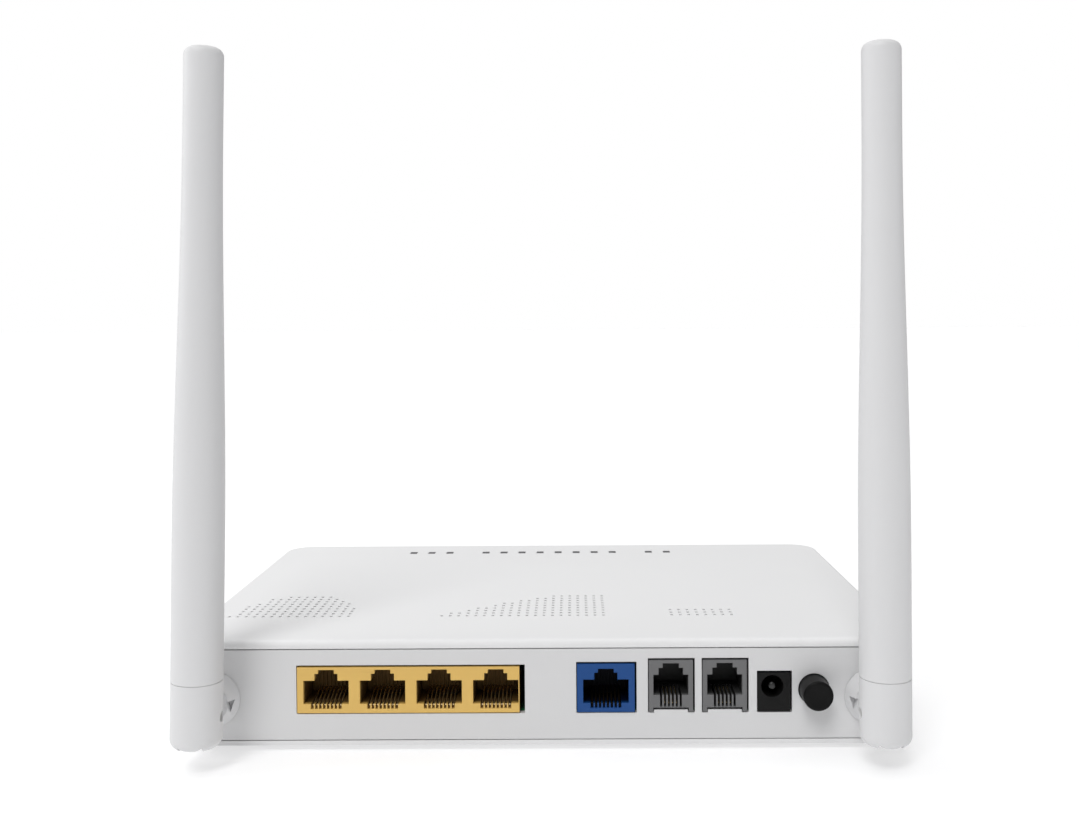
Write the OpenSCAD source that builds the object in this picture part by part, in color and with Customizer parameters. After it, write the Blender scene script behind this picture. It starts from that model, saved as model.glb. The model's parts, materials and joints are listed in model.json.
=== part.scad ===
// Desk-standing optical network terminal with two folding antennas.
// Origin: centre of the overall box on the table plane. +X runs to the right as seen from the
// port side, +Y runs from the ports to the indicator edge, +Z is up.

/* [Case] */
// Width of the case
case_w = 192; // [188:1:200]
// Depth of the case, from the port face to the front edge
case_d = 130; // [128:1:140]
// Height of the joint between the cover and the lower parts
seam_z = 26.8; // [26.8:0.1:29]
// Height of the cover above that joint
cover_h = 2.1; // [2:0.1:2.6]
// Thickness of the shell walls and of the port panel
wall = 2; // [1.8:0.1:2.2]
// Height of the rubber feet under the case
feet_h = 1.5; // [1:0.1:2.5]
// Plan radius of the front corners
front_r = 9; // [7:0.5:12]
// Plan radius of the rear corners
rear_r = 2.5; // [2.3:0.1:3]

/* [Ports] */
// How far the jack faces stand proud of the port panel
jack_proud = 0.3; // [0:0.1:0.6]
// Spacing of the four network sockets
lan_pitch = 14.75; // [14.5:0.05:15]
// Centre of the four network sockets across the case
lan_x = -34.1; // [-36:0.1:-32]
// Centre of the uplink socket
wan_x = 16.7; // [15:0.1:18]
// Centre of the first telephone socket
phone_1_x = 33.6; // [33.2:0.1:34]
// Centre of the second telephone socket
phone_2_x = 47.6; // [47.2:0.1:48]
// Centre of the power inlet
dc_x = 60.4; // [60:0.05:60.5]
// Centre of the power button
button_x = 70.8; // [70.4:0.1:71]
// Height of the power button's centre
button_z = 15.7; // [15.5:0.1:16.5]
// How far the power button stands out of the panel
button_out = 6.4; // [4:0.1:6.5]

/* [Antennas] */
// Distance of each antenna pivot from the middle of the case
pivot_x = 86; // [85.8:0.1:87]
// Height of the antenna pivots
pivot_z = 13.8; // [13.5:0.1:14.5]
// Distance of the antenna axis behind the port face
pivot_back = 13; // [12.8:0.1:14]
// Height of the antenna tips
tip_z = 180; // [140:1:220]
// Radius of the antennas at the bottom
barrel_r = 6.4; // [6.3:0.05:6.6]
// Radius of the antennas near the tip
tip_r = 4.85; // [4.6:0.05:5.2]
// Inward lean of the left antenna at rest, in degrees
left_lean = 1.4; // [0:0.1:3]
// Inward lean of the right antenna at rest, in degrees
right_lean = 0.35; // [0:0.05:3]

/* [Hidden] */
$fn = 48;
eps = 0.01;

// Case heights and planes
antenna_back = pivot_back + barrel_r;
rear_y = (antenna_back - case_d) / 2;
front_y = rear_y + case_d;
base_z = feet_h;
floor_t = 1.8;
floor_z = base_z + floor_t;
seam_gap = 0.3;
wall_z = seam_z - seam_gap;
top_z = seam_z + cover_h;
edge_r = 1.6;
panel_z = base_z + 1.2;
panel_fit = 0.2;
panel_foot_gap = 0.25;
panel_w = case_w - 2 * (wall + 1);

// Board
board_z = 8.4;
board_t = 1.6;
board_top = board_z + board_t;
board_w = 156;
board_back = 2.3;
board_d = 119;
board_screw_x = 73;
board_screw_y = [46, 112];

// Screws and towers
tower_x = 84;
tower_y = [26, 106];
tower_r = 4;
tower_top = 14;
screw_seat = 9;
screw_r = 1.5;
pilot_r = 1.25;
head_r = 2.8;
head_h = 2;
post_top_gap = 4;

// Feet, keyholes and floor vents
foot_r = 5;
foot_x = 82;
foot_y = [11, 120];
foot_seat = 0.5;
keyhole_x = 50;
keyhole_y = 66;
keyhole_r = 4;
keyhole_neck_r = 2.1;
keyhole_drop = 8;

// Sockets
jack_depth = 15.5;
cavity_depth = 12.5;
lan_w = 58;
lan_shift = -0.7;
lan_gap = 0.9;
lan_h = 12;
wan_w = 15;
wan_h = 12.6;
phone_w = 11.5;
phone_h = 13.5;
foot_w = 9.2;
foot_h = 1.1;
foot_d = 2.6;
dc_w = 8.4;
dc_h = 10.1;
dc_depth = 13.5;
dc_hole_r = 2.85;
dc_hole_depth = 10;
dc_pin_r = 1.05;
dc_z = 16.6;
dc_hole_x = dc_x - 0.45;
gap_left = 0.2;
gap_right = 0.5;
gap_low = 0.25;
gap_high = 0.45;
foot_tongue = 0.5;
rj45_w = 11.8;
rj45_floor = 1.1;
rj45_comb_h = 1.3;
rj45_comb_w = 8;
carrier_y = 11.3;
carrier_d = 1.1;
rib_w = 0.3;
rib_d = 0.6;
contact_pitch = 1.02;
contact_w = 0.46;

// Power button and switch
button_r = 3.85;
button_hole_r = 4.1;
button_inside = 4.5;
button_travel = 2.5;
switch_w = 8.4;
switch_h = 9.5;
switch_y = 9;
switch_d = 12;
stem_w = 3;
stem_in = 4;
stem_slot = 3.6;

// Indicator windows
led_count = 15;
led_blanks = [3, 12];
led_first_x = -48.8;
led_pitch = 6.45;
led_y = 116;
led_w = 2.5;
led_l = 3.4;
pipe_gap = 0.1;

// Cooling slots in the cover
slot_w = 0.8;
slot_l = 1.2;
slot_pitch_x = 2.4;
slot_pitch_y = 2.9;
slot_y0 = 25;
slot_rows = 10;

// Fibre port in the left wall
fibre_y = 60;
fibre_z = 16;
fibre_w = 12.8;
fibre_h = 9.4;
fibre_d = 15;
ferrule_r = 1.25;

// Antenna hinge
bore_r = 4.45;
shaft_r = 4.4;
ring_r = 7;
ring_t = 1.5;
claw_r = 5.1;
claw_t = 1.3;
cone_r = 7.3;
cone_tip_r = 5.2;
cone_back = 3.9;
face_gap = 0.15;
tongue_t = 5.6;
tongue_r = 5;
slot_t = 6;
hinge_slot_r = 5.4;
pin_r = 1.45;
pin_hole_r = 1.5;
pin_l = 11.8;
coax_hole_r = 1.6;
coax_r = 0.7;
knuckle_low = 7.8;
knuckle_top = 22.8;
knuckle_round = 2.6;
knuckle_swing_r = 8.5;
spigot_r = 4.4;
spigot_h = 6;
tube_bore_r = 3.4;
tip_round = 2.2;
taper_from = 55;
taper_end = 20;

function led_x(k) = led_first_x + k * led_pitch;
function lit(k) = len(search(k, led_blanks)) == 0;
function back(y) = rear_y + y;

// Plan outline of the case, moved in by an inset
module plan(inset = 0) {
    rf = front_r - inset;
    rr = max(rear_r - inset, 0.2);
    half = case_w / 2 - inset;
    y0 = rear_y + inset;
    y1 = front_y - inset;
    translate([-half + rf, y0]) square([2 * (half - rf), y1 - y0]);
    translate([-half + rr, y0]) square([2 * (half - rr), y1 - y0 - rf]);
    translate([-half, y0 + rr]) square([2 * half, y1 - y0 - rf - rr]);
    for (side = [-1, 1]) {
        translate([side * (half - rf), y1 - rf]) circle(r = rf);
        translate([side * (half - rr), y0 + rr]) circle(r = rr);
    }
}

// Block given by its lowest corner and its highest corner
module block(low, high) {
    translate(low) cube(high - low);
}

// A flat shape drawn in X and Z, made solid from y0 to y1
module along_y(y0, y1) {
    translate([0, y1, 0]) rotate([90, 0, 0]) linear_extrude(y1 - y0) children();
}

// A flat shape drawn in Y and Z, made solid in X around a centre
module across_x(centre, width) {
    translate([centre - width / 2, 0, 0]) rotate([90, 0, 90]) linear_extrude(width) children();
}

// Rod along Y
module rod_y(x, z, y0, y1, r) {
    translate([x, y1, z]) rotate([90, 0, 0]) cylinder(r = r, h = y1 - y0);
}

// Places its children at each of the four mirrored places
module four(x, ys) {
    for (side = [-1, 1], y = ys) translate([side * x, rear_y + y, 0]) children();
}

// Tube swept along a list of points, with a ring of sides at each point
module swept_tube(points, r, sides = 8) {
    last = len(points) - 1;
    rings = [for (i = [0:last])
        let (
            a = points[max(i - 1, 0)],
            b = points[min(i + 1, last)],
            t = (b - a) / norm(b - a),
            u = cross(t, [0, 0, 1]) / norm(cross(t, [0, 0, 1])),
            v = cross(u, t)
        )
        for (k = [0:sides - 1]) points[i] + r * (cos(360 * k / sides) * u + sin(360 * k / sides) * v)
    ];
    skin = [for (i = [0:last - 1], k = [0:sides - 1])
        let (n = (k + 1) % sides)
        [i * sides + k, i * sides + n, (i + 1) * sides + n, (i + 1) * sides + k]
    ];
    cap_a = [for (k = [0:sides - 1]) sides - 1 - k];
    cap_b = [for (k = [0:sides - 1]) last * sides + k];
    polyhedron(rings, concat([cap_a], skin, [cap_b]), convexity = 8);
}

// ---------------------------------------------------------------- case shells

// Keyhole for hanging the case on a wall screw
module keyhole() {
    cylinder(r = keyhole_r, h = floor_t + 2);
    translate([0, keyhole_drop, 0]) cylinder(r = keyhole_neck_r, h = floor_t + 2);
    translate([-keyhole_neck_r, 0, 0]) cube([2 * keyhole_neck_r, keyhole_drop, floor_t + 2]);
}

module bottom_shell() {
    color("whitesmoke") difference() {
        union() {
            difference() {
                translate([0, 0, base_z]) linear_extrude(wall_z - base_z) plan();
                translate([0, 0, floor_z]) linear_extrude(wall_z) plan(wall);
                // seat of the port panel
                block([-panel_w / 2 - panel_fit, rear_y - 1, panel_z],
                      [panel_w / 2 + panel_fit, rear_y + wall + 0.1, wall_z + 1]);
            }
            four(tower_x, tower_y) translate([0, 0, floor_z - eps])
                cylinder(r = tower_r, h = tower_top - floor_z + eps);
            four(board_screw_x, board_screw_y) translate([0, 0, floor_z - eps])
                cylinder(r = 3.5, h = board_z - floor_z + eps);
            // ribs that stop the port panel from moving inwards
            for (side = [-1, 1], low = [floor_z - eps, 21.5]) {
                rib_x = side * (case_w / 2 - wall - 1);
                block([rib_x - 1 - eps, back(wall + 0.1), low], [rib_x + 1 + eps, back(3.6), low + 2.5]);
            }
            // lip behind the foot of the port panel
            block([-75, back(wall + 0.1), floor_z - eps], [75, back(3.2), floor_z + 2.5]);
        }
        // case screws: clearance hole and deep head pocket
        four(tower_x, tower_y) {
            cylinder(r = 1.7, h = tower_top + 1);
            cylinder(r = 3.1, h = screw_seat);
        }
        four(board_screw_x, board_screw_y) translate([0, 0, floor_z + 0.7]) cylinder(r = 1, h = 8);
        four(foot_x, foot_y) cylinder(r = foot_r + 0.1, h = base_z + foot_seat);
        for (side = [-1, 1]) translate([side * keyhole_x, back(keyhole_y), base_z - 1]) keyhole();
        // floor vents
        for (k = [-6:6], y = [30, 86])
            block([k * 5 - 1, back(y), base_z - 1], [k * 5 + 1, back(y + 22), floor_z + 1]);
        // opening for the fibre port
        block([-case_w / 2 - 1, back(fibre_y - fibre_w / 2 - 0.2), fibre_z - fibre_h / 2 - 0.2],
              [-case_w / 2 + wall + 1, back(fibre_y + fibre_w / 2 + 0.2), fibre_z + fibre_h / 2 + 0.2]);
    }
}

module rear_panel() {
    color("gainsboro") difference() {
        union() {
            block([-panel_w / 2, rear_y, panel_z + panel_foot_gap], [panel_w / 2, back(wall), wall_z]);
            for (side = [-1, 1])
                rod_y(side * pivot_x, pivot_z, back(wall - eps), back(wall + ring_t), ring_r);
        }
        for (side = [-1, 1])
            rod_y(side * pivot_x, pivot_z, rear_y - 1, back(wall + ring_t + 1), bore_r);
        rod_y(button_x, button_z, rear_y - 1, back(wall + 1), button_hole_r);
        panel_cut(lan_x + lan_shift, lan_w, lan_h, lan_gap);
        panel_cut(wan_x, wan_w, wan_h);
        panel_cut(dc_x, dc_w, dc_h);
        for (x = [phone_1_x, phone_2_x]) difference() {
            panel_cut(x, phone_w, phone_h);
            // tongue of the panel that reaches up between the jack's legs
            block([x - foot_w / 2 + 0.2, rear_y - 2, 0],
                  [x + foot_w / 2 - 0.2, back(wall + 2), board_top + foot_tongue]);
        }
    }
}

// Cut-out of the port panel around one jack, with extra room on its right
module panel_cut(x, w, h, extra = 0) {
    block([x - w / 2 - gap_left, rear_y - 1, board_top - gap_low],
          [x + w / 2 + gap_right + extra, back(wall + 1), board_top + h + gap_high]);
}

// Corner puck of the cover, with its rounded upper edge
module cover_puck(r) {
    rotate_extrude($fn = 64) polygon(concat(
        [[0, 0], [r, 0]],
        [for (a = [0:15:90]) [r - edge_r + edge_r * cos(a), cover_h - edge_r + edge_r * sin(a)]],
        [[0, cover_h]]
    ));
}

// How many rows of cooling slots stand at x: a low mound on the left, a rising wave in the
// middle and a few short rows on the right
function slot_rows_at(x) =
    x < -54 ? slot_rows * sqrt(max(0, 1 - pow((x + 71) / 18, 2))) :
    x < -30 ? 0 :
    x < 18 ? 1 + (slot_rows - 1) * sin(90 * (x + 30) / 46) :
    x > 34 && x < 54 ? 3 : 0;

module cooling_slots() {
    for (i = [-37:22]) {
        x = i * slot_pitch_x;
        rows = floor(slot_rows_at(x));
        if (rows > 0) for (j = [0:rows - 1])
            translate([x - slot_w / 2, back(slot_y0 + j * slot_pitch_y), seam_z - 1])
                cube([slot_w, slot_l, cover_h + 2]);
    }
}

module top_cover() {
    color("white") difference() {
        union() {
            hull() for (side = [-1, 1]) {
                translate([side * (case_w / 2 - front_r), front_y - front_r, seam_z])
                    cover_puck(front_r);
                translate([side * (case_w / 2 - rear_r), rear_y + rear_r, seam_z])
                    cover_puck(rear_r);
            }
            // locating lip inside the walls
            translate([0, 0, seam_z - 2.5]) linear_extrude(2.5 + eps) difference() {
                plan(wall + 0.3);
                plan(wall + 1.5);
            }
            four(tower_x, tower_y) translate([0, 0, tower_top])
                cylinder(r = tower_r - 0.5, h = seam_z - tower_top + eps);
        }
        four(tower_x, tower_y) translate([0, 0, tower_top - 1])
            cylinder(r = pilot_r, h = seam_z - tower_top - post_top_gap + 1);
        cooling_slots();
        for (k = [0:led_count - 1]) if (lit(k))
            translate([led_x(k) - led_w / 2, back(led_y) - led_l / 2, seam_z - 1])
                cube([led_w, led_l, cover_h + 2]);
    }
}

// One smoked light guide with a finger under each indicator window
module light_pipes() {
    bar_low = seam_z - 2.6;
    bar_high = seam_z - 0.1;
    last = led_count - 1;
    color("dimgray") union() {
        block([led_x(0) - 2, back(led_y) - 2.2, bar_low], [led_x(last) + 2, back(led_y) + 2.2, bar_high]);
        for (k = [0:last]) if (lit(k)) {
            block([led_x(k) - led_w / 2 + pipe_gap, back(led_y) - led_l / 2 + pipe_gap, bar_high - eps],
                  [led_x(k) + led_w / 2 - pipe_gap, back(led_y) + led_l / 2 - pipe_gap, top_z - 0.05]);
            block([led_x(k) - 1, back(led_y) - 1, board_top + 1.2],
                  [led_x(k) + 1, back(led_y) + 1, bar_low + eps]);
        }
        // clip legs that stand on the board
        for (x = [led_x(0) - 1.5, led_x(led_blanks[0]), led_x(led_blanks[1]), led_x(last) + 1.5])
            block([x - 0.6, back(led_y) - 2.2, board_top], [x + 0.6, back(led_y) + 2.2, bar_low + eps]);
    }
}

module rubber_feet() {
    color("slategray") four(foot_x, foot_y) rotate_extrude()
        polygon([
            [0, 0], [foot_r - 0.6, 0], [foot_r, 0.6], [foot_r, base_z + foot_seat], [0, base_z + foot_seat]
        ]);
}

// Pan-head screw pointing up, with its head under z = 0 and a cross recess
module screw_up(r, length, r_head, h_head) {
    difference() {
        union() {
            translate([0, 0, -eps]) cylinder(r = r, h = length + eps);
            translate([0, 0, -h_head]) cylinder(r = r_head, h = h_head);
        }
        for (turn = [0, 90]) rotate(turn)
            translate([-r_head * 0.6, -0.4, -h_head - 1]) cube([r_head * 1.2, 0.8, 2]);
    }
}

module case_screws() {
    color("silver") four(tower_x, tower_y) translate([0, 0, screw_seat])
        screw_up(screw_r, 12, head_r, head_h);
}

// ---------------------------------------------------------------- board and what stands on it

module main_board() {
    color("seagreen") difference() {
        block([-board_w / 2, back(board_back), board_z],
              [board_w / 2, back(board_back + board_d), board_top]);
        four(board_screw_x, board_screw_y) cylinder(r = 1.6, h = 20);
    }
}

module board_screws() {
    color("silver") four(board_screw_x, board_screw_y) translate([0, 0, board_top])
        rotate([180, 0, 0]) screw_up(1.3, 5, 2.5, 1.6);
}

// Face outline of one eight-way socket opening, standing on its floor at z = 0
module rj45_outline() {
    translate([-rj45_w / 2, rj45_comb_h]) square([rj45_w, 6.1]);
    translate([-3, rj45_comb_h + 6]) square([6, 1.9]);
    translate([-2.05, rj45_comb_h + 7.8]) square([4.1, 1.1]);
    translate([-rj45_comb_w / 2, 0]) square([rj45_comb_w, rj45_comb_h + eps]);
}

// Eight spring wires: each lies along the socket floor and then slants up and back
module rj45_wires(x) {
    z = board_top + rj45_floor;
    y = rear_y - jack_proud;
    for (k = [0:7]) across_x(x + (k - 3.5) * contact_pitch, contact_w) polygon([
        [y + 1.2, z + 0.5], [y + 2.4, z + 0.5], [y + 8.2, z + 2.3], [y + carrier_y, z + 2.3],
        [y + carrier_y, z + 2.6], [y + 8.1, z + 2.6], [y + 2.3, z + 0.8], [y + 1.2, z + 0.8]
    ]);
}

// Moulded insert of one socket: a bar under the wire roots, and a ribbed wall behind their ends
module contact_carrier(x) {
    z = board_top + rj45_floor;
    y = rear_y - jack_proud;
    half_bar = rj45_comb_w / 2 - 0.05;
    block([x - half_bar, y + 0.9, z], [x + half_bar, y + 2.3, z + 0.5]);
    half_wall = rj45_w / 2 - 0.1;
    block([x - half_wall, y + carrier_y, z + rj45_comb_h + 0.1],
          [x + half_wall, y + carrier_y + carrier_d, z + rj45_comb_h + 6]);
    for (k = [-4:4]) block([x + k * contact_pitch - rib_w / 2, y + carrier_y - rib_d, z + 2.8],
                           [x + k * contact_pitch + rib_w / 2, y + carrier_y + eps, z + rj45_comb_h + 6]);
}

module contact_carriers() {
    color("dimgray") {
        for (k = [0:3]) contact_carrier(lan_x + (k - 1.5) * lan_pitch);
        contact_carrier(wan_x);
    }
}

// Jack shell with a row of eight-way sockets; shift moves the block sideways against its sockets
module rj45_shell(x, width, height, count, shift = 0) {
    face = rear_y - jack_proud;
    difference() {
        block([x + shift - width / 2, face, board_top],
              [x + shift + width / 2, face + jack_depth, board_top + height]);
        for (k = [0:count - 1])
            translate([x + (k - (count - 1) / 2) * lan_pitch, 0, board_top + rj45_floor])
            along_y(face - 1, face + cavity_depth) rj45_outline();
    }
}

module lan_jack_housing() {
    color("goldenrod") rj45_shell(lan_x, lan_w, lan_h, 4, lan_shift);
}

module lan_jack_contacts() {
    color("gold") for (k = [0:3]) rj45_wires(lan_x + (k - 1.5) * lan_pitch);
}

module wan_jack_housing() {
    color("royalblue") rj45_shell(wan_x, wan_w, wan_h, 1);
}

module wan_jack_contacts() {
    color("gold") rj45_wires(wan_x);
}

// Six-way telephone socket: stepped opening, six contact slots below it, open foot between legs
module phone_jack(x) {
    face = rear_y - jack_proud;
    difference() {
        block([x - phone_w / 2, face, board_top],
              [x + phone_w / 2, face + jack_depth, board_top + phone_h]);
        along_y(face - 1, face + cavity_depth) translate([x, board_top]) {
            translate([-4.55, 4.4]) square([9.1, 5.3]);
            translate([-3.2, 9.6]) square([6.4, 1.9]);
            translate([-2.1, 11.4]) square([4.2, 1.3]);
        }
        for (k = [0:5]) along_y(face - 1, face + 9)
            translate([x + (k - 2.5) * contact_pitch - 0.28, board_top + 1.3]) square([0.56, 3.2]);
        block([x - foot_w / 2, face - 1, board_top - 1],
              [x + foot_w / 2, face + foot_d, board_top + foot_h]);
    }
}

module phone_jack_1() {
    color("dimgray") phone_jack(phone_1_x);
}

module phone_jack_2() {
    color("dimgray") phone_jack(phone_2_x);
}

module phone_jack_contacts() {
    y = rear_y - jack_proud;
    z = board_top + 1.3;
    color("gold") for (x = [phone_1_x, phone_2_x], k = [1:4])
        across_x(x + (k - 2.5) * contact_pitch, contact_w) polygon([
            [y + 1.6, z + 0.2], [y + 2, z + 0.2], [y + 8.6, z + 2.7], [y + 8.6, z + 3],
            [y + 8.2, z + 3], [y + 1.6, z + 0.5]
        ]);
}

module dc_jack_body() {
    face = rear_y - jack_proud;
    color("black") difference() {
        block([dc_x - dc_w / 2, face, board_top], [dc_x + dc_w / 2, face + dc_depth, board_top + dc_h]);
        rod_y(dc_hole_x, dc_z, face - 1, face + dc_hole_depth, dc_hole_r);
    }
}

module dc_jack_pin() {
    face = rear_y - jack_proud;
    color("silver") union() {
        rod_y(dc_hole_x, dc_z, face + 1.2, face + dc_hole_depth, dc_pin_r);
        translate([dc_hole_x, face + 1.2, dc_z]) sphere(r = dc_pin_r);
    }
}

module power_switch() {
    low_x = button_x - switch_w / 2;
    slot_end = switch_y + stem_in + button_travel + 1;
    color("dimgray") difference() {
        block([low_x, back(switch_y), board_top],
              [low_x + switch_w, back(switch_y + switch_d), board_top + switch_h]);
        block([button_x - stem_slot / 2, back(switch_y) - 1, button_z - stem_slot / 2],
              [button_x + stem_slot / 2, back(slot_end), button_z + stem_slot / 2]);
    }
}

// Round cap with a dished, rounded face, on a square stem that enters the switch
module power_button() {
    length = button_out + button_inside;
    color("black") union() {
        translate([button_x, back(button_inside), button_z]) rotate([90, 0, 0]) rotate_extrude() polygon([
            [0, 0], [button_r, 0], [button_r, length - 0.5], [button_r - 0.15, length - 0.15],
            [button_r - 0.5, length], [button_r - 0.9, length], [0, length - 0.2]
        ]);
        block([button_x - stem_w / 2, back(button_inside) - eps, button_z - stem_w / 2],
              [button_x + stem_w / 2, back(switch_y + stem_in), button_z + stem_w / 2]);
    }
}

module status_leds() {
    color("ivory") for (k = [0:led_count - 1]) if (lit(k))
        translate([led_x(k) - 0.8, back(led_y) - 0.4, board_top]) cube([1.6, 0.8, 0.7]);
}

// A flat chip centred at a place on the board
module chip(x, y, w, d, h) {
    block([x - w / 2, back(y) - d / 2, board_top], [x + w / 2, back(y) + d / 2, board_top + h]);
}

module soc_chip() {
    color("dimgray") chip(-6, 64, 17, 17, 1.4);
}

// Finned block glued on the main chip
module heatsink() {
    low = board_top + 1.4;
    color("silver") difference() {
        block([-20, back(50), low], [8, back(78), low + 8]);
        for (k = [0:6]) block([-18.4 + k * 3.8, back(49), low + 2], [-16.4 + k * 3.8, back(79), low + 9]);
    }
}

module memory_chip() {
    color("dimgray") chip(22, 64, 9, 13, 1.1);
}

module flash_chip() {
    color("dimgray") chip(38, 62, 8, 6, 1.6);
}

module wifi_chip() {
    color("dimgray") chip(-52, 60, 10, 10, 0.9);
}

// Tin can over the radio chip, open underneath
module wifi_shield() {
    color("silver") difference() {
        chip(-52, 60, 30, 28, 3.2);
        block([-66.7, back(46.3), board_top - 1], [-37.3, back(73.7), board_top + 2.9]);
    }
}

module lan_transformers() {
    color("dimgray") for (x = [-48, -22]) chip(x, 26, 20, 10, 5.6);
}

module wan_transformer() {
    color("dimgray") chip(16.7, 26, 13, 9, 5.6);
}

module line_chips() {
    color("dimgray") for (x = [33.6, 47.6]) chip(x, 30, 8, 8, 0.9);
}

module capacitors() {
    color("midnightblue") for (place = [[60, 26], [60, 37], [60, 48]])
        translate([place[0], back(place[1]), board_top]) cylinder(r = 4, h = 11.5);
}

module inductors() {
    color("gray") for (place = [[60, 62], [60, 74], [46, 80]]) chip(place[0], place[1], 7.3, 7.3, 4.2);
}

// Metal-can crystals with round ends
module crystals() {
    color("silver") for (at = [[-24, 84], [6, 86], [-30, 45]]) translate([at[0], back(at[1]), board_top]) {
        translate([-3.3, -2.3, 0]) cube([6.6, 4.6, 3.5]);
        for (side = [-1, 1]) translate([side * 3.3, 0, 0]) cylinder(r = 2.3, h = 3.5);
    }
}

// ---------------------------------------------------------------- fibre port

// Receptacle in the left wall, open outwards, with a key slot in its roof
module fibre_adapter() {
    face = -case_w / 2 + 0.2;
    color("seagreen") difference() {
        block([face, back(fibre_y) - fibre_w / 2, fibre_z - fibre_h / 2],
              [face + fibre_d, back(fibre_y) + fibre_w / 2, fibre_z + fibre_h / 2]);
        block([face - 1, back(fibre_y) - 4.55, fibre_z - 3.7],
              [face + 12, back(fibre_y) + 4.55, fibre_z + 3.7]);
        block([face - 1, back(fibre_y) - 1.2, fibre_z], [face + 6, back(fibre_y) + 1.2, fibre_z + 4.3]);
        translate([face + 10, back(fibre_y), fibre_z]) rotate([0, 90, 0]) cylinder(r = 1.75, h = 6);
    }
}

// Ceramic sleeve that lines up the two fibre ends
module ferrule_sleeve() {
    color("ivory") translate([-case_w / 2 + 6.2, back(fibre_y), fibre_z]) rotate([0, 90, 0]) difference() {
        cylinder(r = 1.75, h = 9);
        translate([0, 0, -1]) cylinder(r = ferrule_r, h = 11);
    }
}

// Stepped metal transceiver behind the receptacle, with its foot on the board
module optical_module() {
    start = -case_w / 2 + 0.2 + fibre_d;
    color("silver") union() {
        translate([start, back(fibre_y), fibre_z]) rotate([0, 90, 0]) cylinder(r = 3.2, h = 5);
        translate([start + 5 - eps, back(fibre_y), fibre_z]) rotate([0, 90, 0]) cylinder(r = 2.6, h = 7);
        block([start + 4, back(fibre_y) - 5, board_top], [start + 12, back(fibre_y) + 5, fibre_z - 1]);
    }
}

// ---------------------------------------------------------------- antenna leads inside the case

module rf_connectors() {
    color("gold") for (side = [-1, 1]) translate([side * 70, back(34), board_top]) {
        cylinder(r = 1.3, h = 1.6);
        translate([0, 0, 1.6 - eps]) cylinder(r = 1.6, h = 1);
    }
}

// Thin coaxial lead from the middle of an antenna neck to its board connector
module coax_lead(side) {
    route = [
        [0, -2, 0], [0, 3, 0], [0, 7, 0], [-0.6, 10, 0], [-2.2, 13, -0.1], [-4.4, 15.6, -0.3],
        [-6.6, 18, -0.5], [-8.6, 20.8, -0.7], [-10.4, 23.8, -0.9], [-12, 26.8, -1.2],
        [-13.6, 29.6, -1.4], [-15.2, 32, -1.6]
    ];
    swept_tube([for (p = route) [side * (pivot_x + p[0]), back(p[1]), pivot_z + p[2]]], coax_r);
}

module left_coax_lead() {
    color("dimgray") coax_lead(-1);
}

module right_coax_lead() {
    color("dimgray") coax_lead(1);
}

// ---------------------------------------------------------------- antennas
// Each antenna part is drawn with its pivot at the origin, the panel on the +Y side, and is
// then put in place with its inward lean.

module at_pivot(side, lean) {
    translate([side * pivot_x, rear_y - pivot_back, pivot_z]) rotate([0, -side * lean, 0]) children();
}

// Swivelling neck: cone against the panel, shaft through it with snap claws behind, flat tongue
module neck() {
    face = pivot_back;
    difference() {
        union() {
            translate([0, face - face_gap, 0]) rotate([90, 0, 0])
                cylinder(r1 = cone_r, r2 = cone_tip_r, h = cone_back - face_gap);
            rod_y(0, 0, face - cone_back, face + wall + ring_t + 0.2 + claw_t, shaft_r);
            rod_y(0, 0, face + wall + ring_t + 0.2, face + wall + ring_t + 0.2 + claw_t, claw_r);
            rotate([0, 90, 0]) translate([0, 0, -tongue_t / 2]) cylinder(r = tongue_r, h = tongue_t);
            block([-tongue_t / 2, 0, -tongue_r], [tongue_t / 2, face - cone_back + eps, tongue_r]);
        }
        rotate([0, 90, 0]) translate([0, 0, -tongue_t]) cylinder(r = pin_hole_r, h = 2 * tongue_t);
        rod_y(0, 0, 3, face + 10, coax_hole_r);
        // slits that let the claws bend inwards
        block([-0.7, face + wall, -claw_r - 1], [0.7, face + 10, claw_r + 1]);
        block([-claw_r - 1, face + wall, -0.7], [claw_r + 1, face + 10, 0.7]);
        // arrow-shaped pockets in the cone
        for (side = [-1, 1]) along_y(face - cone_back - 1, face - 1.2)
            polygon([[side * 4.6, 0.6], [side * 6.4, 0.6], [side * 5.5, -2.6]]);
    }
}

module hinge_pin() {
    rotate([0, 90, 0]) translate([0, 0, -pin_l / 2]) cylinder(r = pin_r, h = pin_l);
}

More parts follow.
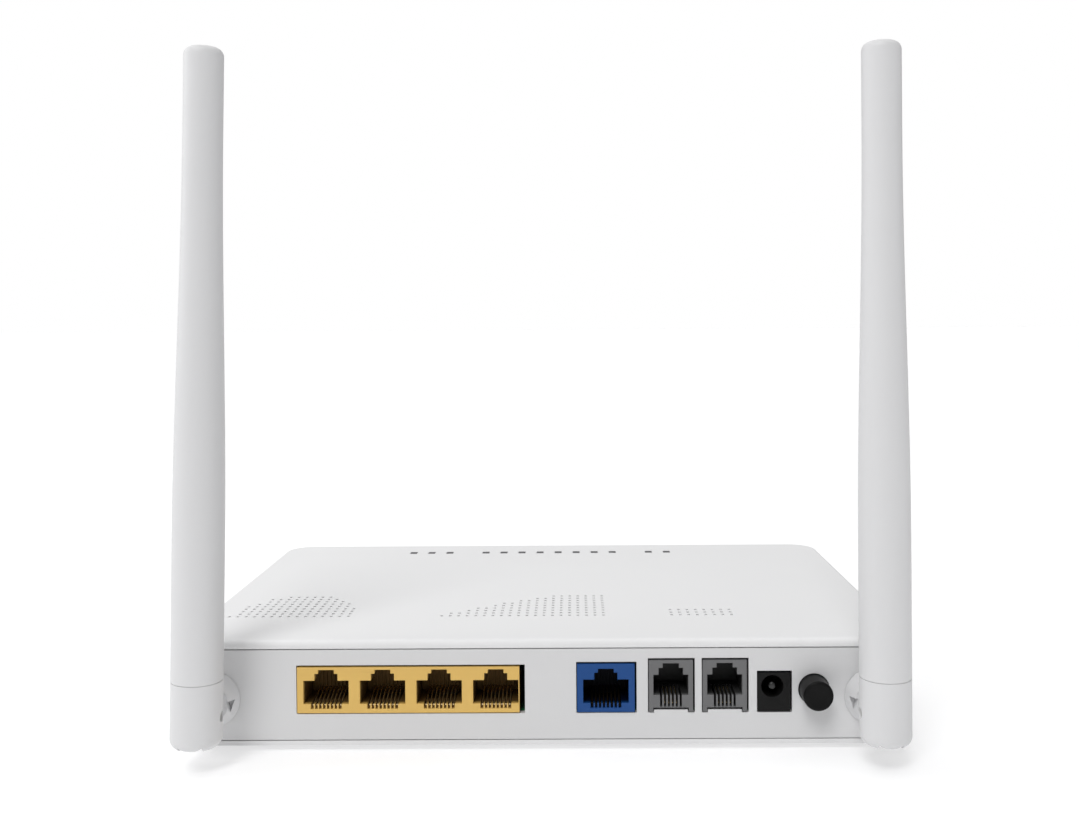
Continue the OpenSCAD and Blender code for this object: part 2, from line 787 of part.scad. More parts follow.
// Forked lower end: a round barrel with a rounded foot, slotted for the tongue and open to the
// panel side and below. Its foot is trimmed round the pin on the panel side, so that it clears
// the cone as the antenna folds.
module knuckle() {
    top = knuckle_top - pivot_z;
    foot_in = barrel_r - knuckle_round;
    difference() {
        union() {
            translate([0, 0, knuckle_round - knuckle_low])
                cylinder(r = barrel_r, h = top + knuckle_low - knuckle_round);
            translate([0, 0, -knuckle_low]) cylinder(r = foot_in, h = knuckle_round + eps);
            translate([0, 0, knuckle_round - knuckle_low]) rotate_extrude()
                translate([foot_in, 0]) intersection() {
                    circle(r = knuckle_round);
                    translate([0, -knuckle_round]) square([knuckle_round, knuckle_round + eps]);
                }
            translate([0, 0, top - eps]) cylinder(r = spigot_r, h = spigot_h + eps);
        }
        difference() {
            block([-20, 0, -20], [20, 20, 0]);
            rotate([0, 90, 0]) translate([0, 0, -30]) cylinder(r = knuckle_swing_r, h = 60);
        }
        rotate([0, 90, 0]) translate([0, 0, -slot_t / 2]) cylinder(r = hinge_slot_r, h = slot_t);
        block([-slot_t / 2, 0, -hinge_slot_r], [slot_t / 2, 20, hinge_slot_r]);
        block([-slot_t / 2, -hinge_slot_r, -20], [slot_t / 2, 20, 0]);
        rotate([0, 90, 0]) translate([0, 0, -20]) cylinder(r = pin_r, h = 40);
        translate([0, 0, 3]) cylinder(r = coax_hole_r, h = 30);
    }
}

// Outer radius of the antenna tube over its taper: half a cosine wave from full to slim
function tube_r(t) = tip_r + (barrel_r - tip_r) * (cos(180 * t) + 1) / 2;

module antenna_tube() {
    low = knuckle_top - pivot_z;
    high = tip_z - pivot_z;
    taper_low = taper_from - pivot_z;
    taper_l = tip_z - taper_from - taper_end;
    steps = 12;
    difference() {
        rotate_extrude() polygon(concat(
            [[0, low], [barrel_r, low]],
            [for (k = [0:steps]) [tube_r(k / steps), taper_low + taper_l * k / steps]],
            [[tip_r, high - tip_round]],
            [for (a = [22.5:22.5:90])
                [tip_r - tip_round + tip_round * cos(a), high - tip_round + tip_round * sin(a)]],
            [[0, high]]
        ));
        translate([0, 0, low - 1]) cylinder(r = spigot_r, h = spigot_h + 1);
        translate([0, 0, low]) cylinder(r = tube_bore_r, h = high - low - 5);
    }
}

// Sleeve dipole: brass sleeve, insulated gap and upper wire
module radiator() {
    color("peru") union() {
        translate([0, 0, 70]) cylinder(r = 2.4, h = 30);
        translate([0, 0, 100 - eps]) cylinder(r = 0.9, h = 6);
        translate([0, 0, 106 - eps]) cylinder(r = 1.4, h = 30);
    }
}

// Coaxial lead inside the tube, from the hinge up to the sleeve
module antenna_coax() {
    translate([0, 0, 7]) cylinder(r = coax_r, h = 63);
}

module left_neck() {
    color("white") at_pivot(-1, left_lean) neck();
}

module right_neck() {
    color("white") at_pivot(1, right_lean) neck();
}

module left_hinge_pin() {
    color("silver") at_pivot(-1, left_lean) hinge_pin();
}

module right_hinge_pin() {
    color("silver") at_pivot(1, right_lean) hinge_pin();
}

module left_knuckle() {
    color("white") at_pivot(-1, left_lean) knuckle();
}

module right_knuckle() {
    color("white") at_pivot(1, right_lean) knuckle();
}

module left_antenna_tube() {
    color("white") at_pivot(-1, left_lean) antenna_tube();
}

module right_antenna_tube() {
    color("white") at_pivot(1, right_lean) antenna_tube();
}

module left_radiator() {
    at_pivot(-1, left_lean) radiator();
}

module right_radiator() {
    at_pivot(1, right_lean) radiator();
}

module left_antenna_coax() {
    color("dimgray") at_pivot(-1, left_lean) antenna_coax();
}

module right_antenna_coax() {
    color("dimgray") at_pivot(1, right_lean) antenna_coax();
}

bottom_shell();
rear_panel();
top_cover();
light_pipes();
rubber_feet();
case_screws();
main_board();
board_screws();
lan_jack_housing();
lan_jack_contacts();
wan_jack_housing();
wan_jack_contacts();
contact_carriers();
phone_jack_1();
phone_jack_2();
phone_jack_contacts();
dc_jack_body();
dc_jack_pin();
power_switch();
power_button();
status_leds();
soc_chip();
heatsink();
memory_chip();
flash_chip();
wifi_chip();
wifi_shield();
lan_transformers();
wan_transformer();
line_chips();
capacitors();
inductors();
crystals();
fibre_adapter();
ferrule_sleeve();
optical_module();
rf_connectors();
left_coax_lead();
right_coax_lead();
left_neck();
right_neck();
left_hinge_pin();
right_hinge_pin();
left_knuckle();
right_knuckle();
left_antenna_tube();
right_antenna_tube();
left_radiator();
right_radiator();
left_antenna_coax();
right_antenna_coax();
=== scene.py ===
# %% [markdown]
# # A desk optical network terminal
#
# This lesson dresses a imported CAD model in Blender. The CAD model is the fixed frame: it says
# where each piece is and which body it moves with. What is left is the looks, and they come
# from three sources. Some pieces are surfaces worked out with numpy, some are CAD pieces whose
# edges are softened by modifiers, and every piece gets a material made of shader nodes.
#
# The first step loads the frame and keeps its box, because no piece may grow out of it.

# %% Load the frame
import json
import math

import bmesh
import bpy
import numpy as np
from mathutils import Matrix, Vector


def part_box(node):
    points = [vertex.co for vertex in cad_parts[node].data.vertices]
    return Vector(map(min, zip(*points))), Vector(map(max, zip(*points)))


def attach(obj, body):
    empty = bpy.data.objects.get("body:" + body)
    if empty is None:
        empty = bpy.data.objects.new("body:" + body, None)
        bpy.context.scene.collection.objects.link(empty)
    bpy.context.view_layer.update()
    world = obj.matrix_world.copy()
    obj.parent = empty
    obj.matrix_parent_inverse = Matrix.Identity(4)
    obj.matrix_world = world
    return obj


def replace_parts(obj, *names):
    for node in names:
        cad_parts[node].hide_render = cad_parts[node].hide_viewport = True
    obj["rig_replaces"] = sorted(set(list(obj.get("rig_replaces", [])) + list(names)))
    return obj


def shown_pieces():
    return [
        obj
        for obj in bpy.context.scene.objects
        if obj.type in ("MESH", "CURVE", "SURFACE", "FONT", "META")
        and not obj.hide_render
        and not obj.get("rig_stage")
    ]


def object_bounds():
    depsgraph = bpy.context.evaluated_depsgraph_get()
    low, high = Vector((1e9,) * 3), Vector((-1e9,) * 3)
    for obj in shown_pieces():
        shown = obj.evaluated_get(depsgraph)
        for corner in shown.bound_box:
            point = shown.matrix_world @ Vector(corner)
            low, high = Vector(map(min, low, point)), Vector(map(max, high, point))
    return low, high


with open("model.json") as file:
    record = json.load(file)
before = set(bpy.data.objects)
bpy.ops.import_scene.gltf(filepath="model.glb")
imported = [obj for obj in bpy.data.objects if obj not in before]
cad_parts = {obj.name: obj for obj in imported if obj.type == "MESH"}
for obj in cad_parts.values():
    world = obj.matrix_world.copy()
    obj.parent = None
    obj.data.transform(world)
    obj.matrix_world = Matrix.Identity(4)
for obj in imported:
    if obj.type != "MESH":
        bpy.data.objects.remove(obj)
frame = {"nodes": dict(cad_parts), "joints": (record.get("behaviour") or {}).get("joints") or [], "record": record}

cad_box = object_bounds()
MM = 0.001

# %% [markdown]
# ## Camera
#
# A product picture of a flat unit is taken level, so that upright edges stay parallel, and the
# picture is then moved up on the sensor with a shift. A camera that is tilted down instead
# makes the antennas lean. So the camera looks almost level, from a hand's length above the table,
# and the shift brings the unit back into the middle of the picture. Its three turns are given in
# degrees, and the matrix is built from its right, up and forward directions.

# %% Camera
CAMERA_AT = Vector((9.0, -362.5, 112.4)) * MM
CAMERA_YAW, CAMERA_PITCH, CAMERA_ROLL = (math.radians(a) for a in (-0.39, 1.29, -0.375))
CAMERA_LENS = 39.63
CAMERA_SHIFT = (-0.0246, -0.0663)
SENSOR_WIDTH = 36
CLIP_NEAR, CLIP_FAR = 0.01, 50
UNIT_MIDDLE = Vector((0, 0, 50)) * MM


def camera_matrix(at, yaw, pitch, roll):
    """Place and turn as one matrix: the camera's right, its up and its backward direction are
    the columns. Yaw turns from +Y towards +X, pitch looks down, roll turns about the view."""
    flat = math.cos(pitch)
    forward = Vector((math.sin(yaw) * flat, math.cos(yaw) * flat, -math.sin(pitch)))
    level = Vector((math.cos(yaw), -math.sin(yaw), 0))
    upright = level.cross(forward)
    right = math.cos(roll) * level + math.sin(roll) * upright
    up = math.cos(roll) * upright - math.sin(roll) * level
    turn = Matrix((right, up, -forward)).transposed().to_4x4()
    return Matrix.Translation(at) @ turn


camera = bpy.data.objects.new("camera", bpy.data.cameras.new("camera"))
bpy.context.scene.collection.objects.link(camera)
camera.data.lens = CAMERA_LENS
camera.data.sensor_width = SENSOR_WIDTH
camera.data.shift_x, camera.data.shift_y = CAMERA_SHIFT
camera.data.clip_start, camera.data.clip_end = CLIP_NEAR, CLIP_FAR
camera.matrix_world = camera_matrix(CAMERA_AT, CAMERA_YAW, CAMERA_PITCH, CAMERA_ROLL)
bpy.context.scene.camera = camera
print("camera is", round((CAMERA_AT - UNIT_MIDDLE).length, 3), "m from the unit")

# %% [markdown]
# ## Shader maths as Python
#
# A node tree is easier to read as arithmetic. `Wire` holds one output socket and overloads the
# operators, so `1 - mask * 0.2` adds two Math nodes. Every other node comes from one method,
# `Finish.node`, which takes the node's type, its settings and the values or wires of its
# sockets. Numbers alone are worked out in Python and never become nodes.

# %% Wire and Finish
class Wire:
    """One output socket of a material's tree, with arithmetic."""

    def __init__(self, finish, socket):
        self.finish = finish
        self.socket = socket

    def maths(self, operation, first, second):
        """A Math node on two wires or numbers."""
        return self.finish.node("ShaderNodeMath", {"operation": operation}, {0: first, 1: second})

    def __add__(self, other):
        return self.maths("ADD", self, other)

    def __sub__(self, other):
        return self.maths("SUBTRACT", self, other)

    def __mul__(self, other):
        return self.maths("MULTIPLY", self, other)

    def __rsub__(self, other):
        return self.maths("SUBTRACT", other, self)

    def __gt__(self, other):
        return self.maths("GREATER_THAN", self, other)

    def __lt__(self, other):
        return self.maths("LESS_THAN", self, other)

    __radd__ = __add__
    __rmul__ = __mul__


class Finish:
    """A material being made. `shader` is its Principled shader."""

    def __init__(self, name):
        self.material = bpy.data.materials.new(name)
        self.material.use_nodes = True
        self.tree = self.material.node_tree
        self.shader = self.tree.nodes["Principled BSDF"]

    def feed(self, socket, value):
        """Links a wire to a socket, or sets a number, a vector or a colour on it."""
        if isinstance(value, Wire):
            self.tree.links.new(value.socket, socket)
        elif socket.type == "RGBA":
            socket.default_value = (*value, 1)
        else:
            socket.default_value = value

    def node(self, kind, settings=None, sockets=None, out=0):
        """Adds a node, sets it up, feeds its sockets and returns one of its outputs."""
        made = self.tree.nodes.new(kind)
        for name, value in (settings or {}).items():
            setattr(made, name, value)
        for key, value in (sockets or {}).items():
            self.feed(made.inputs[key], value)
        return Wire(self, made.outputs[out])

    def surface(self, **sockets):
        """Feeds the Principled shader: base_color=..., roughness=... and so on."""
        for name, value in sockets.items():
            words = name.replace("_", " ").title().replace("Ior", "IOR")
            self.feed(self.shader.inputs[words], value)
        return self.material


def place(finish, stretch=(1, 1, 1)):
    """Object coordinates in metres, stretched along each axis."""
    where = finish.node("ShaderNodeTexCoord", out="Object")
    return finish.node("ShaderNodeMapping", {}, {"Vector": where, "Scale": stretch})


def noise(finish, size_mm, detail, stretch=(1, 1, 1)):
    """Noise whose blobs are about size_mm across, from 0 to 1."""
    sockets = {"Vector": place(finish, stretch), "Scale": 1 / (size_mm * MM), "Detail": detail}
    return finish.node("ShaderNodeTexNoise", {}, sockets)


def cells(finish, size_mm):
    """Distance to the nearest random point, with points about size_mm apart."""
    sockets = {"Vector": place(finish), "Scale": 1 / (size_mm * MM)}
    return finish.node("ShaderNodeTexVoronoi", {"feature": "F1"}, sockets)


def blend_colours(finish, share, first, second):
    """first where share is 0, second where it is 1."""
    sockets = {0: share, 6: first, 7: second}
    return finish.node("ShaderNodeMix", {"data_type": "RGBA"}, sockets, out=2)


def relief(finish, height, depth_mm):
    """A bump of depth_mm where height goes from 0 to 1."""
    sockets = {"Height": height, "Distance": depth_mm * MM, "Strength": 1}
    return finish.node("ShaderNodeBump", {}, sockets)


def coordinate(finish, axis):
    """One object coordinate in metres. The axis is "X", "Y" or "Z"."""
    where = finish.node("ShaderNodeTexCoord", out="Object")
    return finish.node("ShaderNodeSeparateXYZ", {}, {"Vector": where}, out=axis)


print("shader tools are ready")

# %% [markdown]
# ## Moulded plastic
#
# Nearly all that shows is moulded plastic. Its colour is even, but never perfectly so: the
# colour shifts by a few percent over centimetres where the melt cooled at different rates.
# Moulds for cases are spark-eroded, which leaves a fine, even grain of tenths of a millimetre
# that keeps the surface from looking like glass. One function makes all these finishes, and its
# arguments are the colour, how large and deep the grain is, and how glossy the skin is.
#
# Deep inside a socket little light gets in. To make that stronger than the lights alone do,
# `inwards` measures how far a point lies behind the faces of the sockets, and the plastic blends
# to a darker colour over that distance. It is a choice for the look, not how such plastic is.

# %% Moulded finishes
SOCKET_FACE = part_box("lan_jack_housing")[0].y / MM
DARKENS_OVER = 2.2


def inwards(finish, reach_mm):
    """0 at the faces of the sockets, rising to 1 at reach_mm behind them."""
    depth = coordinate(finish, "Y")
    start, stop = SOCKET_FACE * MM, (SOCKET_FACE + reach_mm) * MM
    limits = {"Value": depth, "From Min": start, "From Max": stop}
    return finish.node("ShaderNodeMapRange", {}, limits)


def moulded(
    name, colour, grain_mm, grain_depth_mm, gloss, drift=0.03, cloud_mm=35, shine=0.45, painted_shade=None
):
    """Plastic with a slow drift of colour, a fine grain in the relief and a matching roughness.
    Colour = the given one, darker by `drift` where 0.7 x slow noise + 0.3 x grain is 1. If a painted-shade colour
    is given, the plastic blends to it behind the faces of the sockets: painted shade, not the plastic's own
    colour.
    Height = 0.7 x grain + 0.3 x pits. Roughness = 1 - gloss + 0.12 x (grain - 0.5)."""
    finish = Finish(name)
    cloud = noise(finish, cloud_mm, 3)
    grain = noise(finish, grain_mm, 2)
    pits = cells(finish, grain_mm * 1.7)
    darker = tuple(c * (1 - drift) for c in colour)
    tint = blend_colours(finish, cloud * 0.7 + grain * 0.3, colour, darker)
    # Painted shade: the plastic blends to a darker colour behind the faces of the sockets.
    if painted_shade:
        tint = blend_colours(finish, inwards(finish, DARKENS_OVER), tint, painted_shade)
    height = grain * 0.7 + pits * 0.3
    return finish.surface(
        base_color=tint,
        roughness=(1 - gloss) + (grain - 0.5) * 0.12,
        normal=relief(finish, height, grain_depth_mm),
        specular_ior_level=shine,
    )


case_white = moulded("case_white", (0.80, 0.80, 0.805), 0.28, 0.012, 0.42)
panel_grey = moulded("panel_grey", (0.70, 0.70, 0.705), 0.22, 0.008, 0.46, cloud_mm=50)
antenna_white = moulded("antenna_white", (0.72, 0.72, 0.728), 0.16, 0.004, 0.50, cloud_mm=60)
# The second colour of each jack is its painted shade deep inside the socket.
YELLOW, YELLOW_PAINTED_SHADE = (0.76, 0.49, 0.13), (0.10, 0.055, 0.014)
BLUE, BLUE_PAINTED_SHADE = (0.006, 0.065, 0.25), (0.001, 0.004, 0.016)
GREY, GREY_PAINTED_SHADE = (0.155, 0.155, 0.158), (0.03, 0.03, 0.03)
BLACK = (0.005, 0.005, 0.005)
jack_yellow = moulded("jack_yellow", YELLOW, 0.12, 0.003, 0.52, 0.07, 6, painted_shade=YELLOW_PAINTED_SHADE)
jack_blue = moulded("jack_blue", BLUE, 0.12, 0.003, 0.60, 0.10, 6, shine=0.3, painted_shade=BLUE_PAINTED_SHADE)
jack_grey = moulded("jack_grey", GREY, 0.12, 0.004, 0.48, 0.10, 5, painted_shade=GREY_PAINTED_SHADE)
inlet_black = moulded("inlet_black", BLACK, 0.14, 0.004, 0.45, 0.2, 5, shine=0.2)
button_black = moulded("button_black", BLACK, 0.20, 0.003, 0.62, 0.2, 4, shine=0.12)
chip_resin = moulded("chip_resin", (0.022, 0.022, 0.024), 0.10, 0.010, 0.30, 0.25, 3)
sleeve_navy = moulded("sleeve_navy", (0.012, 0.014, 0.035), 0.4, 0.002, 0.72, 0.15, 8)
adapter_green = moulded("adapter_green", (0.015, 0.20, 0.075), 0.14, 0.003, 0.58, 0.08, 6)
foot_rubber = moulded("foot_rubber", (0.045, 0.045, 0.048), 0.35, 0.03, 0.12, 0.3, 4)
lead_jacket = moulded("lead_jacket", (0.03, 0.03, 0.033), 0.15, 0.006, 0.40, 0.2, 5)
ceramic = moulded("ceramic", (0.80, 0.79, 0.74), 0.08, 0.001, 0.80, 0.02, 3)
led_resin = moulded("led_resin", (0.72, 0.70, 0.52), 0.3, 0.002, 0.75, 0.06, 1)
print("moulded finishes are ready")

# %% [markdown]
# ## Metals
#
# Rolled and stamped metal is brushed along one direction: the same noise, squeezed across the
# direction of rolling, gives streaks. The gilded contacts are duller than the sheet metal and
# have finer streaks.

# %% Metal finishes
HAZE_MM, STREAK_DEPTH, WEAR = 6, 0.002, 0.15


def metal(name, colour, roughness, streak_mm=0.2, along=(1, 0.08, 1)):
    """Metal whose roughness and colour follow streaks: noise stretched along one axis.
    Colour = the given one, darker by WEAR where half streak + half haze is 1.
    Roughness = the given one + 0.15 x (streak - 0.5) + 0.08 x (haze - 0.5)."""
    finish = Finish(name)
    streak = noise(finish, streak_mm, 3, along)
    haze = noise(finish, HAZE_MM, 2)
    worn = tuple(c * (1 - WEAR) for c in colour)
    return finish.surface(
        base_color=blend_colours(finish, streak * 0.5 + haze * 0.5, colour, worn),
        metallic=1.0,
        roughness=roughness + (streak - 0.5) * 0.15 + (haze - 0.5) * 0.08,
        normal=relief(finish, streak, STREAK_DEPTH),
    )


zinc = metal("zinc", (0.66, 0.66, 0.64), 0.32)
tin_plate = metal("tin_plate", (0.72, 0.72, 0.70), 0.26, 0.3)
gold_flash = metal("gold_flash", (1.0, 0.80, 0.48), 0.40, 0.1, (0.3, 1, 1))
copper = metal("copper", (0.80, 0.47, 0.32), 0.34)
# Gold darkened to near black: painted shade that keeps the single socket's mouth dark.
gold_in_painted_shade = metal("gold_in_painted_shade", (0.10, 0.07, 0.035), 0.50, 0.1, (0.3, 1, 1))
# The pin's nickel is darkened to near black: painted shade deep inside the inlet.
pin_nickel_in_painted_shade = metal("pin_nickel_in_painted_shade", (0.06, 0.06, 0.06), 0.34, 0.3)
fin_metal = metal("fin_metal", (0.74, 0.75, 0.77), 0.38, 0.25, (1, 0.05, 1))
print("metal finishes are ready")

# %% [markdown]
# ## The board and the smoked light guide
#
# Solder mask is a thin green lacquer over copper. The copper tracks lie a few hundredths of a
# millimetre higher and show through as a lighter green, so one pattern drives both the colour
# and the relief. Cells measured with the Manhattan distance, the way along a street grid, have
# straight edges with sharp turns, as tracks do.
#
# The light guide is smoked plastic, dark grey when nothing is lit behind it.
#
# The carriers that hold the contact wires are drawn as their jack's plastic in painted shade: brown behind the
# yellow sockets and near black behind the single socket, so one finish changes colour along X. The two colours
# follow the two jacks, and their darkness is painted shade.

# %% Board, light guide and carrier finishes
TRACK_PITCH, TRACK_HEIGHT = 3.2, 0.03
TRACK_FROM, TRACK_TO = 0.42, 0.62


def solder_mask(name):
    """Dark green lacquer with lighter, raised tracks where the Manhattan distance to the nearest
    random point is between two values."""
    finish = Finish(name)
    sockets = {"Vector": place(finish), "Scale": 1 / (TRACK_PITCH * MM)}
    settings = {"feature": "F1", "distance": "MANHATTAN"}
    path = finish.node("ShaderNodeTexVoronoi", settings, sockets)
    band = (path > TRACK_FROM) * (path < TRACK_TO)
    cloud = noise(finish, 12, 3)
    base = blend_colours(finish, cloud * 0.6, (0.008, 0.105, 0.040), (0.006, 0.075, 0.030))
    return finish.surface(
        base_color=blend_colours(finish, band * 0.8, base, (0.020, 0.20, 0.075)),
        roughness=0.26 + cloud * 0.08,
        normal=relief(finish, band, TRACK_HEIGHT),
    )


def smoked(name):
    """Smoked plastic: dark grey, half glossy, with a faint clouding."""
    finish = Finish(name)
    cloud = noise(finish, 1.4, 3)
    return finish.surface(
        base_color=blend_colours(finish, cloud, (0.10, 0.10, 0.105), (0.14, 0.14, 0.145)),
        roughness=0.30 + cloud * 0.10,
        normal=relief(finish, cloud, 0.004),
    )


def carriers(name):
    """Painted shade: brown with a fine mottle where X is below 0, and near black where it is above."""
    finish = Finish(name)
    across = coordinate(finish, "X")
    mottle = noise(finish, 1.2, 2)
    painted_shade_brown = blend_colours(finish, mottle, (0.20, 0.115, 0.035), (0.15, 0.085, 0.026))
    return finish.surface(
        # Painted shade: yellow plastic drawn brown and blue plastic drawn near black behind the socket faces.
        base_color=blend_colours(finish, across > 0.0, painted_shade_brown, (0.004, 0.005, 0.010)),
        roughness=0.60 + mottle * 0.10,
        specular_ior_level=0.2,
    )


board_green = solder_mask("board_green")
carrier_painted_shade = carriers("carrier_painted_shade")
smoked_guide = smoked("smoked_guide")
print("board, light guide and carrier finishes are ready")

# %% [markdown]
# ## Surfaces from arrays
#
# A shape can be a function of two parameters. If u counts along a profile and v goes round, the
# points form a grid, and each little square of the grid is a face. `lattice` turns such an
# array into a mesh. Where the grid closes on itself, the double points are merged, and the
# normals are then made to point outwards.

# %% Mesh helpers
MERGE_MM, SHARP_DEGREES = 0.0005, 35


def link(mesh, name):
    """A mesh as an object of the scene, with its origin at the frame's origin."""
    piece = bpy.data.objects.new(name, mesh)
    bpy.context.scene.collection.objects.link(piece)
    return piece


def shade(mesh):
    """Smooth shading, but for edges that turn by more than SHARP_DEGREES."""
    mesh.polygons.foreach_set("use_smooth", np.ones(len(mesh.polygons), dtype=bool))
    mesh.set_sharp_from_angle(angle=math.radians(SHARP_DEGREES))


def tidy(mesh):
    """Merges double points, drops faces that have no area and turns the normals outwards."""
    work = bmesh.new()
    work.from_mesh(mesh)
    bmesh.ops.remove_doubles(work, verts=work.verts, dist=MERGE_MM * MM)
    bmesh.ops.dissolve_degenerate(work, edges=work.edges, dist=MERGE_MM * MM)
    bmesh.ops.recalc_face_normals(work, faces=work.faces)
    work.to_mesh(mesh)
    work.free()


def lattice(name, points):
    """Mesh of grids of points. The array's shape is (grids, rows, columns, 3). Face (i, j) of a
    grid joins its points (i, j), (i, j+1), (i+1, j+1) and (i+1, j)."""
    grids, rows, columns = points.shape[:3]
    number = np.arange(grids * rows * columns).reshape(grids, rows, columns)
    corners = (number[:, :-1, :-1], number[:, :-1, 1:], number[:, 1:, 1:], number[:, 1:, :-1])
    faces = np.stack(corners, axis=-1).reshape(-1, 4)
    mesh = bpy.data.meshes.new(name)
    mesh.from_pydata(points.reshape(-1, 3).tolist(), [], faces.tolist())
    tidy(mesh)
    shade(mesh)
    return link(mesh, name)


def turned(profile, sides):
    """Points of a turned shape about Z. The profile is a list of (radius, height): point (i, j)
    is at radius_i times the direction of angle j, at height_i. Shape (1, rows, sides + 1, 3)."""
    radius, height = np.array(profile, float).T
    angle = np.linspace(0, 2 * np.pi, sides + 1)
    x = radius[:, None] * np.cos(angle)
    y = radius[:, None] * np.sin(angle)
    z = np.broadcast_to(height[:, None], x.shape)
    return np.stack((x, y, z), axis=-1)[None]


def arc(centre, radius, start, stop, steps=8):
    """Points on a circle around centre, from one angle to the other, in degrees."""
    angle = np.radians(np.linspace(start, stop, steps + 1))
    return [(centre[0] + radius * np.cos(a), centre[1] + radius * np.sin(a)) for a in angle]


print("mesh helpers are ready")

# %% [markdown]
# ## Pieces that keep their CAD shape
#
# A CAD solid arrives as loose triangles with knife-sharp edges. Real mouldings have edges with
# a radius of a tenth of a millimetre or more, and that radius is what catches the light. So a
# copy of the solid is merged, its flat triangles are joined, and a Bevel modifier rounds what
# is sharper than an angle. The copy stands for the CAD node, which stays for the physics.
#
# The modifier never lets two roundings run into each other. On the necks and knuckles the CAD's
# own small faces leave it almost no room, so those pieces keep the edges of the CAD.
#
# The cover has its large radius in the CAD already. It gets a Weighted Normal modifier instead,
# so that its flat top is shaded flat right up to the rounded edge.

# %% Softened copies
BEVEL_SEGMENTS, FLAT_DEGREES, AREA_WEIGHT = 2, 0.3, 100


def body_of(node):
    """Name of the body that carries a CAD node."""
    bodies = frame["record"]["behaviour"]["bodies"]
    return next(body for body, members in bodies.items() if node in members)


def slot_of(node):
    """The record's material slot of a CAD node."""
    rows = frame["record"]["subparts"]
    return next(row["material_slot"] for row in rows if row["node"] == node)


def stands_for(piece, node, finish):
    """Gives a new piece its finish and its body in place of a CAD node. The node's slot is looked up but not given
    to the piece.
    """
    piece.data.materials.clear()
    piece.data.materials.append(finish)
    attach(piece, body_of(node))
    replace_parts(piece, node)
    slot_of(node)
    return piece


def softened(node, finish, edge_mm):
    """Copy of a CAD node with merged triangles. Its edges are rounded by edge_mm, or if that is
    0 only its normals are weighted by the area of the faces."""
    mesh = frame["nodes"][node].data.copy()
    work = bmesh.new()
    work.from_mesh(mesh)
    bmesh.ops.remove_doubles(work, verts=work.verts, dist=MERGE_MM * MM)
    flat = math.radians(FLAT_DEGREES)
    bmesh.ops.dissolve_limit(work, angle_limit=flat, verts=work.verts, edges=work.edges)
    work.to_mesh(mesh)
    work.free()
    shade(mesh)
    piece = link(mesh, node + "_piece")
    if edge_mm:
        bevel = piece.modifiers.new("edges", "BEVEL")
        bevel.width = edge_mm * MM
        bevel.segments = BEVEL_SEGMENTS
        bevel.limit_method = "ANGLE"
        bevel.angle_limit = math.radians(SHARP_DEGREES)
        bevel.harden_normals = True
        bevel.use_clamp_overlap = True
    else:
        flatten = piece.modifiers.new("flat faces", "WEIGHTED_NORMAL")
        flatten.weight = AREA_WEIGHT
        flatten.keep_sharp = True
    return stands_for(piece, node, finish)


SOFTENED = {
    "top_cover": (case_white, 0),
    "bottom_shell": (case_white, 0.35),
    "rear_panel": (panel_grey, 0.12),
    "lan_jack_housing": (jack_yellow, 0.12),
    "wan_jack_housing": (jack_blue, 0.12),
    "phone_jack_1": (jack_grey, 0.10),
    "phone_jack_2": (jack_grey, 0.10),
    "dc_jack_body": (inlet_black, 0.15),
    "contact_carriers": (carrier_painted_shade, 0.05),
    "left_neck": (antenna_white, 0.20),
    "right_neck": (antenna_white, 0.20),
    "left_knuckle": (antenna_white, 0.25),
    "right_knuckle": (antenna_white, 0.25),
    "fibre_adapter": (adapter_green, 0.15),
}
for node, (finish, edge_mm) in SOFTENED.items():
    softened(node, finish, edge_mm)
print("softened", len(SOFTENED), "CAD pieces")

# %% [markdown]
# ## Antenna tubes
#
# Each antenna is a long tube that keeps its width over the lowest fifth, eases down to a slimmer
# end and stops in a blunt tip. That is a turned shape: a profile of radius against height,
# carried round an axis. The axis isn't quite upright, because each antenna leans in a little, so
# the turned points are set on the hinge: the fold joint's axis is their X, and the tube's own
# axis is square to it. A small chamfer at the foot makes the seam to the knuckle below.

# %% Antenna tubes
BARREL_R, TIP_R, TIP_ROUND, SEAM_CHAMFER = 6.4, 4.85, 2.2, 0.22
SOCKET_R, SOCKET_DEPTH, BORE_R, END_WALL = 4.4, 6.0, 3.4, 5.0
SEAM_UP, TAPER_UP, TAPER_STOP, TIP_UP = 9.0, 41.2, 146.2, 166.2
TAPER_STEPS, TIP_STEPS, TUBE_SIDES = 60, 10, 128


def joint(name):
    """The record's row of one joint."""
    return next(row for row in frame["joints"] if row["name"] == name)


def on_hinge(side, points):
    """Points in millimetres, drawn with the pivot at the origin, set on one antenna's hinge:
    pivot + x times the fold axis + y times +Y + z times the direction square to both."""
    fold = joint(side + "_fold")
    across = np.array(fold["axis"], float)
    depth = np.array((0.0, 1.0, 0.0))
    axes = np.stack((across, depth, np.cross(across, depth)))
    return np.array(fold["pos_m"], float) + points * MM @ axes


def tube_profile():
    """Radius against height, from the inside of the tip round the foot to the outside of the
    tip. Over the taper the radius is the tip's plus the difference to the barrel's times
    (cos(180 degrees x share) + 1) / 2, where the share goes from 0 to 1."""
    share = np.linspace(0, 1, TAPER_STEPS + 1)
    radius = TIP_R + (BARREL_R - TIP_R) * (np.cos(np.pi * share) + 1) / 2
    height = TAPER_UP + (TAPER_STOP - TAPER_UP) * share
    roof, ledge = TIP_UP - END_WALL, SEAM_UP + SOCKET_DEPTH
    inside = [(0, roof), (BORE_R, roof), (BORE_R, ledge)]
    foot = [(SOCKET_R, ledge), (SOCKET_R, SEAM_UP)]
    seam = [(BARREL_R - SEAM_CHAMFER, SEAM_UP), (BARREL_R, SEAM_UP + SEAM_CHAMFER)]
    tip = arc((TIP_R - TIP_ROUND, TIP_UP - TIP_ROUND), TIP_ROUND, 0, 90, TIP_STEPS)
    return inside + foot + seam + list(zip(radius, height)) + tip + [(0, TIP_UP)]


